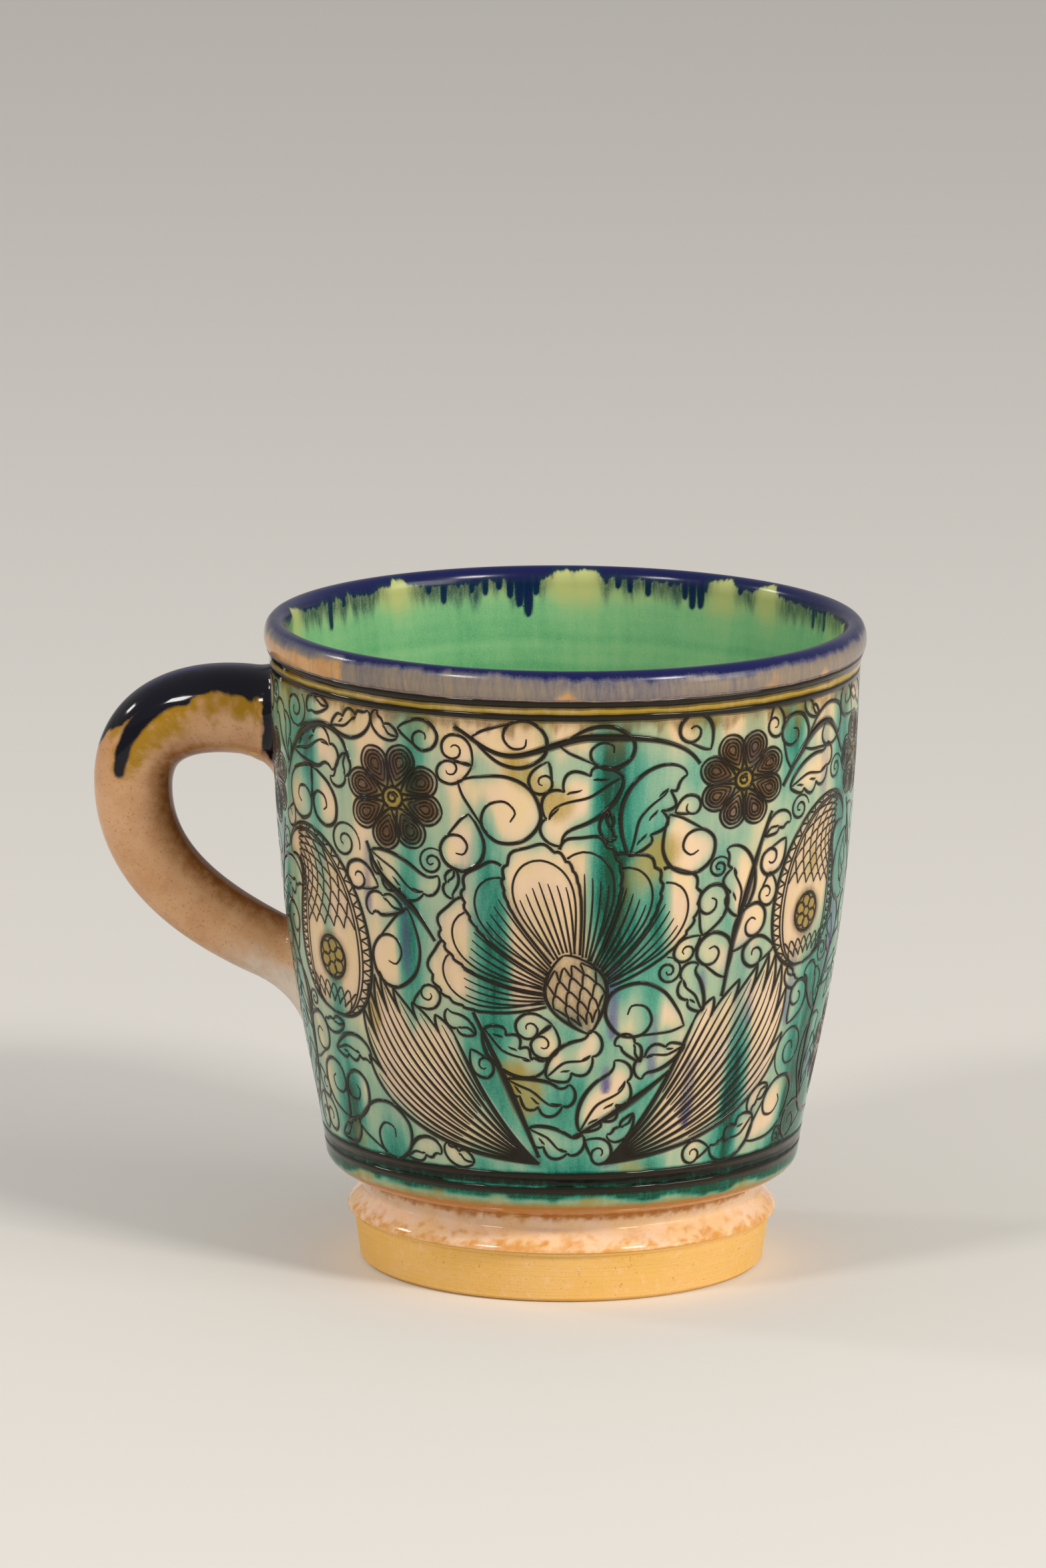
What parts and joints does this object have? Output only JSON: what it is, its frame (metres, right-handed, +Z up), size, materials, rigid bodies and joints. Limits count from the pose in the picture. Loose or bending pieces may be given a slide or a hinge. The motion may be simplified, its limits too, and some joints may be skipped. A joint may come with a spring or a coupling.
{
  "type": "mug",
  "caption": "Tall flared stoneware mug with a rounded lip, a stepped turned foot with a bead and a hollow underside, and a pulled loop handle, under glazes in several colours.",
  "frame": {"origin": "centre of the foot's underside, on the axis of the thrown cup", "axes": "+Z up through the mouth, the handle towards -X, the painted front towards -Y"},
  "size_m": [0.1193, 0.092, 0.1],
  "materials": {
    "clay": "fired buff stoneware, bare where the glazes leave it",
    "bare_clay": "matte bare clay with fine turning lines",
    "joining_slip": "fired joining slip, smoothed by hand",
    "turquoise_glaze": "glossy clear glaze over turquoise wash and brown line painting",
    "green_glaze": "glossy emerald green glaze with blue drips",
    "cobalt_glaze": "glossy dark cobalt glaze, thin and violet where it runs over buff clay",
    "clear_glaze": "glossy clear glaze over peach clay with fine brown specks",
    "dark_blue_glaze": "glossy blue-black glaze run with an ochre edge"
  },
  "bodies": {
    "root": {"cup_body": "clay", "foot_ring": "bare_clay", "handle": "clay", "upper_joint_slip": "joining_slip", "lower_joint_slip": "joining_slip", "outer_glaze": "turquoise_glaze", "inner_glaze": "green_glaze", "rim_glaze": "cobalt_glaze", "foot_glaze": "clear_glaze", "handle_glaze": "clear_glaze", "handle_blue_glaze": "dark_blue_glaze"}
  },
  "joints": []
}
